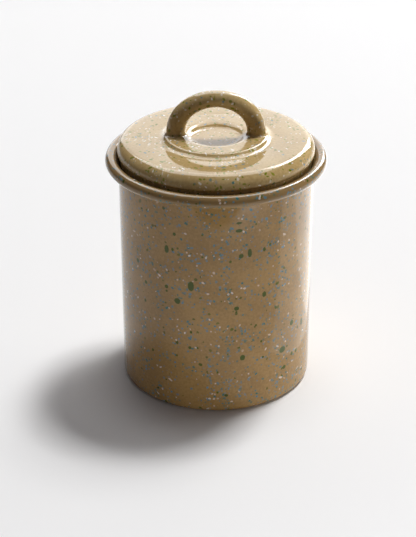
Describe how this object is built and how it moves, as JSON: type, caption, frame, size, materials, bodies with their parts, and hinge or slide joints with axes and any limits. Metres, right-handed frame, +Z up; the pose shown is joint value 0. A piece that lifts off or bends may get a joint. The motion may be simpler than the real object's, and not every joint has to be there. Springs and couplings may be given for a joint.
{
  "type": "storage jar",
  "caption": "Round enamelled steel storage jar with a rolled rim and a drop-in lid that lifts off by a bow handle.",
  "frame": {"origin": "centre of the standing ring, on the surface that the jar stands on", "axes": "+Z up along the jar's axis, the bow handle lies in the X-Z plane, the front is -Y"},
  "size_m": [0.1134, 0.1134, 0.1588],
  "materials": {
    "jar_enamel": "glossy vitreous enamel with fine flecks",
    "lid_enamel": "glossy vitreous enamel with fine flecks"
  },
  "bodies": {
    "jar": {"jar_body": "jar_enamel"},
    "lid": {"lid_shell": "lid_enamel", "lid_collar": "lid_enamel", "lid_handle": "lid_enamel"}
  },
  "joints": [
    {"name": "lid_lift", "type": "slide", "parent": "jar", "child": "lid", "axis": [0, 0, 1], "range_m": [0, 0.06]}
  ]
}
